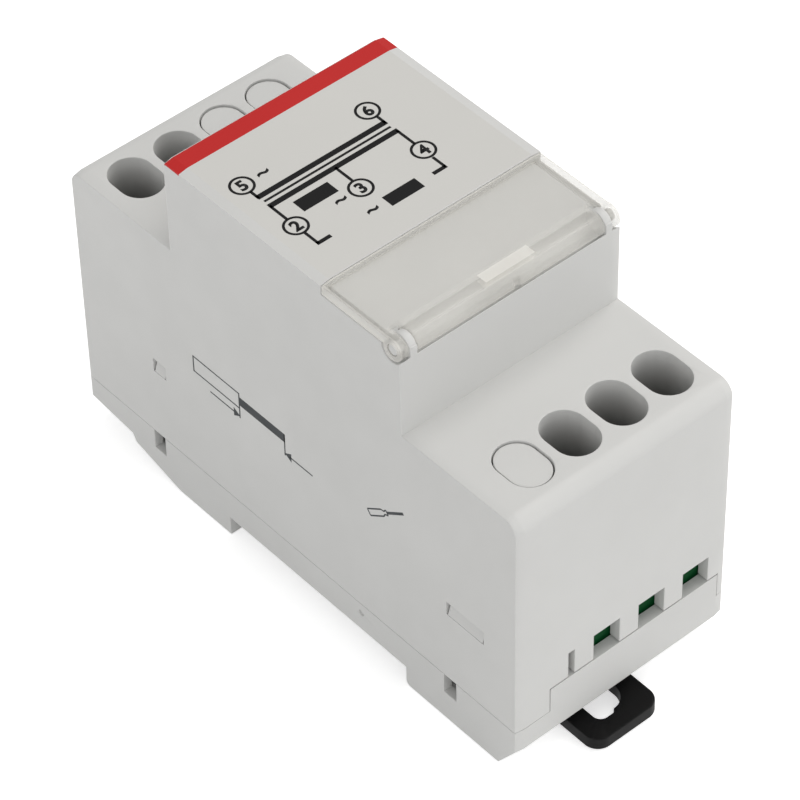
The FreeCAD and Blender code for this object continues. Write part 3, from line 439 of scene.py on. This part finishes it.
def linear(r, g, b):
    """A colour written as 0 to 255 on screen, as the shader wants it."""
    def one(c):
        c = c / 255
        return c / 12.92 if c <= 0.04045 else ((c + 0.055) / 1.055) ** 2.4
    return one(r), one(g), one(b), 1


def two_tones(tree, mask, colour, other):
    """A colour that drifts between two tones with a mask."""
    mix = tree.nodes.new("ShaderNodeMix")
    mix.data_type = "RGBA"
    mix.inputs["A"].default_value = colour
    mix.inputs["B"].default_value = other
    tree.links.new(spread(tree, mask, 0, 1), mix.inputs["Factor"])
    return mix.outputs["Result"]


def bump(tree, shader, height, depth, strength):
    """Feeds a height into a shader's normal, with a depth in mm."""
    node = tree.nodes.new("ShaderNodeBump")
    node.inputs["Distance"].default_value = depth * MM
    node.inputs["Strength"].default_value = strength
    tree.links.new(height, node.inputs["Height"])
    tree.links.new(node.outputs["Normal"], shader.inputs["Normal"])


def plastic(name, colour, other, rough, grain_size=GRAIN, depth=0.012, specular=0.5):
    """A moulded plastic of two close screen colours and a pair of roughness values."""
    material, tree, shader = shader_material(name)
    shader.inputs["Specular IOR Level"].default_value = specular
    group = tree.nodes.new("ShaderNodeGroup")
    group.node_tree = grain
    group.inputs["Grain Size"].default_value = grain_size
    tree.links.new(two_tones(tree, group.outputs["Tone"], linear(*colour), linear(*other)),
                   shader.inputs["Base Color"])
    tree.links.new(spread(tree, group.outputs["Sheen Mask"], *rough), shader.inputs["Roughness"])
    bump(tree, shader, group.outputs["Height"], depth, GRAIN_STRENGTH)
    return material


looks = {
    "housing": plastic("housing_grey", (210, 210, 208), (206, 206, 204), (0.5, 0.6)),
    "housing_base": plastic("base_grey", (209, 209, 207), (205, 205, 203), (0.5, 0.6)),
    "label_film": plastic("label_film", (207, 206, 202), (205, 204, 200), (0.42, 0.5), 6000, 0.004),
    "red_band": plastic("red_band", (193, 46, 45), (188, 43, 42), (0.42, 0.5), 6000, 0.004, 0.12),
    "clip_black": plastic("clip_black", (6, 6, 7), (4, 4, 5), (0.45, 0.55), 2500, 0.02, 0.15),
    "block_green": plastic("block_green", (10, 80, 40), (6, 68, 32), (0.35, 0.45), 3000, 0.012, 0.15),
    "bobbin_white": plastic("bobbin_white", (226, 223, 212), (219, 216, 204), (0.45, 0.55)),
    "tape_yellow": plastic("tape_yellow", (218, 176, 60), (208, 164, 50), (0.3, 0.4), 1500),
    "cutout_black": plastic("cutout_black", (38, 38, 40), (30, 30, 32), (0.4, 0.5)),
    "lead_red": plastic("lead_red", (176, 30, 26), (164, 26, 23), (0.35, 0.42)),
    "lead_white": plastic("lead_white", (226, 225, 219), (218, 217, 210), (0.35, 0.42)),
}
ink_black = plastic("ink_black", (14, 14, 15), (19, 19, 20), (0.45, 0.55), 6000, 0.004, 0.2)
ink_grey = plastic("ink_grey", (60, 63, 65), (70, 73, 75), (0.5, 0.6), 6000, 0.004, 0.2)
print("plastics:", len(looks) + 2)

# %% [markdown]
# The driver guides are of the housing's plastic too. Their holes are deep, and little of a studio's light
# gets down there, so their walls are painted darker towards the bottom: the colour follows the height.

# %% Driver guides, darker with depth
DARK_BELOW, DARK_FROM = 32.0, 41.2
DEEP_GREY = (84, 84, 82)


def shade_by_height(material, low, high, deep):
    """Mixes a darker screen colour into a plastic below a height, all of it below a lower one (mm)."""
    tree = material.node_tree
    shader = tree.nodes["Principled BSDF"]
    tone = shader.inputs["Base Color"].links[0].from_socket
    axes = tree.nodes.new("ShaderNodeSeparateXYZ")
    tree.links.new(tree.nodes.new("ShaderNodeTexCoord").outputs["Object"], axes.inputs["Vector"])
    level = tree.nodes.new("ShaderNodeMapRange")
    level.inputs["From Min"].default_value = low * MM
    level.inputs["From Max"].default_value = high * MM
    tree.links.new(axes.outputs["Z"], level.inputs["Value"])
    mix = tree.nodes.new("ShaderNodeMix")
    mix.data_type = "RGBA"
    mix.inputs["A"].default_value = linear(*deep)
    tree.links.new(tone, mix.inputs["B"])
    tree.links.new(level.outputs["Result"], mix.inputs["Factor"])
    tree.links.new(mix.outputs["Result"], shader.inputs["Base Color"])


looks["guide_grey"] = plastic("guide_grey", (208, 208, 206), (204, 204, 202), (0.5, 0.6))
shade_by_height(looks["guide_grey"], DARK_BELOW, DARK_FROM, DEEP_GREY)
print("guides darken below", DARK_FROM, "mm")

# %% [markdown]
# The flap is clear plastic of a millimetre. What lies under it shows through, so it is painted as
# a thin veil: a low alpha, and the highest on the frosted grip in the middle of the lip. A higher alpha
# on the round lip is partly the haze of the thicker plastic and partly a painted highlight that makes the
# lip lighter; a higher one along the cut edges and the lip's lower edge is a painted highlight, a bright
# line where the clear edge would catch the light. They are found by their place on the piece.

# %% Clear flap with a frosted grip and painted edge highlights
def between(tree, value, low, high):
    """A mask that is 1 where a value lies between two limits."""
    above = tree.nodes.new("ShaderNodeMath")
    above.operation = "GREATER_THAN"
    below = tree.nodes.new("ShaderNodeMath")
    below.operation = "LESS_THAN"
    both = tree.nodes.new("ShaderNodeMath")
    both.operation = "MULTIPLY"
    above.inputs[1].default_value = low * MM
    below.inputs[1].default_value = high * MM
    for node in (above, below):
        tree.links.new(value, node.inputs[0])
    tree.links.new(above.outputs[0], both.inputs[0])
    tree.links.new(below.outputs[0], both.inputs[1])
    return both.outputs[0]


def masked(tree, mask, low, high):
    """A value that is low outside a mask and high inside it."""
    node = tree.nodes.new("ShaderNodeMapRange")
    node.inputs["To Min"].default_value = low
    node.inputs["To Max"].default_value = high
    tree.links.new(mask, node.inputs["Value"])
    return node.outputs["Result"]


# The lip's higher alpha is partly the haze of thicker plastic and partly a painted highlight that lightens
# the lip.
PLATE, LIP_HAZE_AND_HIGHLIGHT, EDGE, GRIP = 0.16, 0.27, 0.5, 0.75
GRIP_X, GRIP_Y = (-3.0, 5.0), (-16.6, -14.9)
# The cut edges and the lip's lower edge get a higher alpha as painted highlights: the whitish veil draws
# bright lines there.
LIP_Y, FAR_HIGHLIGHT_Y, LOW_HIGHLIGHT_Z = (-19, -14.5), (-3.85, -3.5), (54.0, 54.5)
BETWEEN_SIDE_HIGHLIGHTS = (-17.6, 17.6)
clear = plastic("clear_flap", (238, 236, 230), (233, 231, 225), (0.1, 0.16), 900, 0.002)
tree = clear.node_tree
shader = tree.nodes["Principled BSDF"]
axes = tree.nodes.new("ShaderNodeSeparateXYZ")
tree.links.new(tree.nodes.new("ShaderNodeTexCoord").outputs["Object"], axes.inputs["Vector"])
patch = tree.nodes.new("ShaderNodeMath")
patch.operation = "MULTIPLY"
tree.links.new(between(tree, axes.outputs["X"], *GRIP_X), patch.inputs[0])
tree.links.new(between(tree, axes.outputs["Y"], *GRIP_Y), patch.inputs[1])
lip_and_edge_highlights = [masked(tree, between(tree, axes.outputs["Y"], *LIP_Y), PLATE, LIP_HAZE_AND_HIGHLIGHT),
          masked(tree, between(tree, axes.outputs["X"], *BETWEEN_SIDE_HIGHLIGHTS), EDGE, PLATE),
          masked(tree, between(tree, axes.outputs["Y"], *FAR_HIGHLIGHT_Y), PLATE, EDGE),
          masked(tree, between(tree, axes.outputs["Z"], *LOW_HIGHLIGHT_Z), PLATE, EDGE)]
veil = masked(tree, patch.outputs[0], PLATE, GRIP)
for alpha in lip_and_edge_highlights:
    higher = tree.nodes.new("ShaderNodeMath")
    higher.operation = "MAXIMUM"
    tree.links.new(veil, higher.inputs[0])
    tree.links.new(alpha, higher.inputs[1])
    veil = higher.outputs[0]
tree.links.new(veil, shader.inputs["Alpha"])
looks["clear_flap"] = clear
print("flap nodes:", len(tree.nodes))


# %% [markdown]
# The metals are inside, but a driver hole or a window shows some of them. Zinc plate and brass have
# fine scratches; the core shows its stacked sheets as thin bands, and the windings show their turns.

# %% Metals
SCRATCHES, SCRATCH_DETAIL, SCRATCH_STRENGTH = 900, 4, 0.5
BAND_WANDER = 0.3
SHEET, TURN = 0.5, 0.45


def metal(name, colour, other, rough, stretch, depth, bands=None):
    """A metal with drawn scratches, or with bands of a pitch in mm along an axis."""
    material, tree, shader = shader_material(name)
    shader.inputs["Metallic"].default_value = 1
    mapping = tree.nodes.new("ShaderNodeMapping")
    mapping.inputs["Scale"].default_value = stretch
    tree.links.new(tree.nodes.new("ShaderNodeTexCoord").outputs["Object"], mapping.inputs["Vector"])
    scratches = noise(tree, SCRATCHES, SCRATCH_DETAIL, mapping.outputs["Vector"]).outputs["Fac"]
    height = scratches
    if bands:
        wave = tree.nodes.new("ShaderNodeTexWave")
        wave.bands_direction = bands[0]
        wave.inputs["Scale"].default_value = math.pi / (10 * bands[1] * MM)
        wave.inputs["Distortion"].default_value = BAND_WANDER
        tree.links.new(tree.nodes.new("ShaderNodeTexCoord").outputs["Object"], wave.inputs["Vector"])
        height = wave.outputs["Fac"]
    tree.links.new(two_tones(tree, height, linear(*colour), linear(*other)), shader.inputs["Base Color"])
    tree.links.new(spread(tree, scratches, *rough), shader.inputs["Roughness"])
    bump(tree, shader, height, depth, SCRATCH_STRENGTH)
    return material


looks["screw_steel"] = metal("screw_zinc", (200, 200, 196), (182, 183, 182), (0.25, 0.4), (1, 1, 6), 0.01)
looks["cage_steel"] = metal("cage_zinc", (188, 188, 184), (172, 173, 172), (0.3, 0.45), (6, 1, 1), 0.01)
looks["contact_brass"] = metal("contact_brass", (206, 174, 98), (190, 156, 84), (0.25, 0.4), (6, 1, 1), 0.01)
looks["core_steel"] = metal("core_sheets", (128, 128, 130), (92, 93, 96), (0.35, 0.5), (1, 1, 1), 0.05,
                            ("X", SHEET))
looks["winding_copper"] = metal("winding_copper", (196, 112, 66), (150, 74, 40), (0.25, 0.35), (1, 1, 1), 0.1,
                                ("Y", TURN))
print("materials by slot:", len(looks))

# %% [markdown]
# Each solid takes the material of its slot, and so does the moulded copy that stands for it.

# %% Paint every piece
def paint(piece, material):
    """Gives a piece one material in place of all others."""
    piece.data.materials.clear()
    piece.data.materials.append(material)


slots = {part["node"]: part["material_slot"] for part in frame["record"]["subparts"]}
for node, solid in frame["nodes"].items():
    paint(solid, looks[slots[node]])
    copy = bpy.data.objects.get(node + "_moulded")
    if copy:
        paint(copy, looks[slots[node]])
paint(label_print, ink_black)
paint(side_print, ink_grey)
print("painted", len(slots), "solids")

# %% [markdown]
# The floor is a pale sheet at the level of the feet. Seen by the camera, by gloss or through the
# flap it gets some light of its own, which makes it a white page and still keeps the soft shadow.

# %% Floor
FLOOR_SIZE, FLOOR_LEVEL = 12, -3.25
FLOOR_WHITE, FLOOR_ROUGH, FLOOR_LIFT = (0.85, 0.85, 0.85, 1), 0.9, 0.55
bpy.ops.object.select_all(action="DESELECT")
bpy.ops.mesh.primitive_plane_add(size=FLOOR_SIZE, location=(0, 0, FLOOR_LEVEL * MM))
floor = bpy.context.object
floor.name = "floor"
material, tree, shader = shader_material("floor_white")
shader.inputs["Base Color"].default_value = FLOOR_WHITE
shader.inputs["Roughness"].default_value = FLOOR_ROUGH
shader.inputs["Specular IOR Level"].default_value = 0
shader.inputs["Emission Color"].default_value = (1, 1, 1, 1)
path = tree.nodes.new("ShaderNodeLightPath")
seen = tree.nodes.new("ShaderNodeMath")
seen.operation = "MAXIMUM"
tree.links.new(path.outputs["Is Camera Ray"], seen.inputs[0])
tree.links.new(path.outputs["Is Glossy Ray"], seen.inputs[1])
also = tree.nodes.new("ShaderNodeMath")
also.operation = "MAXIMUM"
tree.links.new(seen.outputs[0], also.inputs[0])
tree.links.new(path.outputs["Is Transmission Ray"], also.inputs[1])
lift = tree.nodes.new("ShaderNodeMath")
lift.operation = "MULTIPLY"
lift.inputs[1].default_value = FLOOR_LIFT
tree.links.new(also.outputs[0], lift.inputs[0])
tree.links.new(lift.outputs[0], shader.inputs["Emission Strength"])
paint(floor, material)
print("floor at", FLOOR_LEVEL, "mm")

# %% [markdown]
# A photo tent lights everything from all round. A white world does the same: it is darker overhead, so
# that the holes stay dark, and darker behind, where the tent is open. One large warm lamp to the right
# makes the top a little lighter than the printed side.

# %% Studio light
WORLD_SHARES = ("Z", 1.3, 0.62), ("Y", 1.0, 0.35)
LAMP_PLACE, LAMP_SIZE, LAMP_POWER = (0.65, -0.03, 0.95), 0.6, 4.2
LAMP_WARMTH = (1, 0.975, 0.94)
LAMP_AIM = Vector((0, 0, 0.03))
world = bpy.data.worlds.new("studio")
bpy.context.scene.world = world
world.use_nodes = True
tree = world.node_tree
sky = tree.nodes["Background"]
sky.inputs["Color"].default_value = (1, 1, 1, 1)
axes = tree.nodes.new("ShaderNodeSeparateXYZ")
tree.links.new(tree.nodes.new("ShaderNodeTexCoord").outputs["Generated"], axes.inputs["Vector"])
shares = []
for axis, low, high in WORLD_SHARES:
    share = tree.nodes.new("ShaderNodeMapRange")
    share.inputs["To Min"].default_value = low
    share.inputs["To Max"].default_value = high
    tree.links.new(axes.outputs[axis], share.inputs["Value"])
    shares.append(share.outputs["Result"])
both = tree.nodes.new("ShaderNodeMath")
both.operation = "MULTIPLY"
tree.links.new(shares[0], both.inputs[0])
tree.links.new(shares[1], both.inputs[1])
tree.links.new(both.outputs[0], sky.inputs["Strength"])

lamp = bpy.data.lights.new("key_lamp", "AREA")
lamp.size = LAMP_SIZE
lamp.energy = LAMP_POWER
lamp.color = LAMP_WARMTH
holder = bpy.data.objects.new("key_lamp", lamp)
bpy.context.scene.collection.objects.link(holder)
holder.location = LAMP_PLACE
holder.rotation_mode = "QUATERNION"
holder.rotation_quaternion = (LAMP_AIM - holder.location).to_track_quat("-Z", "Y")
bpy.context.scene.view_settings.view_transform = "Standard"

# %% [markdown]
# The camera stands where the photographer's did: to the left of the near end, looking down at 45 degrees
# through a long lens.

# %% Camera
RIGHT = Vector((0.75200, -0.65895, -0.01678))
UP = Vector((0.47641, 0.52574, 0.70473))
CAMERA_PLACE = Vector((-242.70, -283.13, 398.56))
FOCAL_LENGTH, SENSOR, NEAREST = 185.24, 36, 0.02
lens = bpy.data.cameras.new("photo_camera")
lens.lens = FOCAL_LENGTH
lens.sensor_width = SENSOR
lens.clip_start = NEAREST
camera = bpy.data.objects.new("photo_camera", lens)
bpy.context.scene.collection.objects.link(camera)
turn = Matrix((RIGHT, UP, RIGHT.cross(UP))).transposed().to_4x4()
camera.matrix_world = Matrix.Translation(CAMERA_PLACE * MM) @ turn
bpy.context.scene.camera = camera
print("camera", [round(v, 4) for v in camera.location])
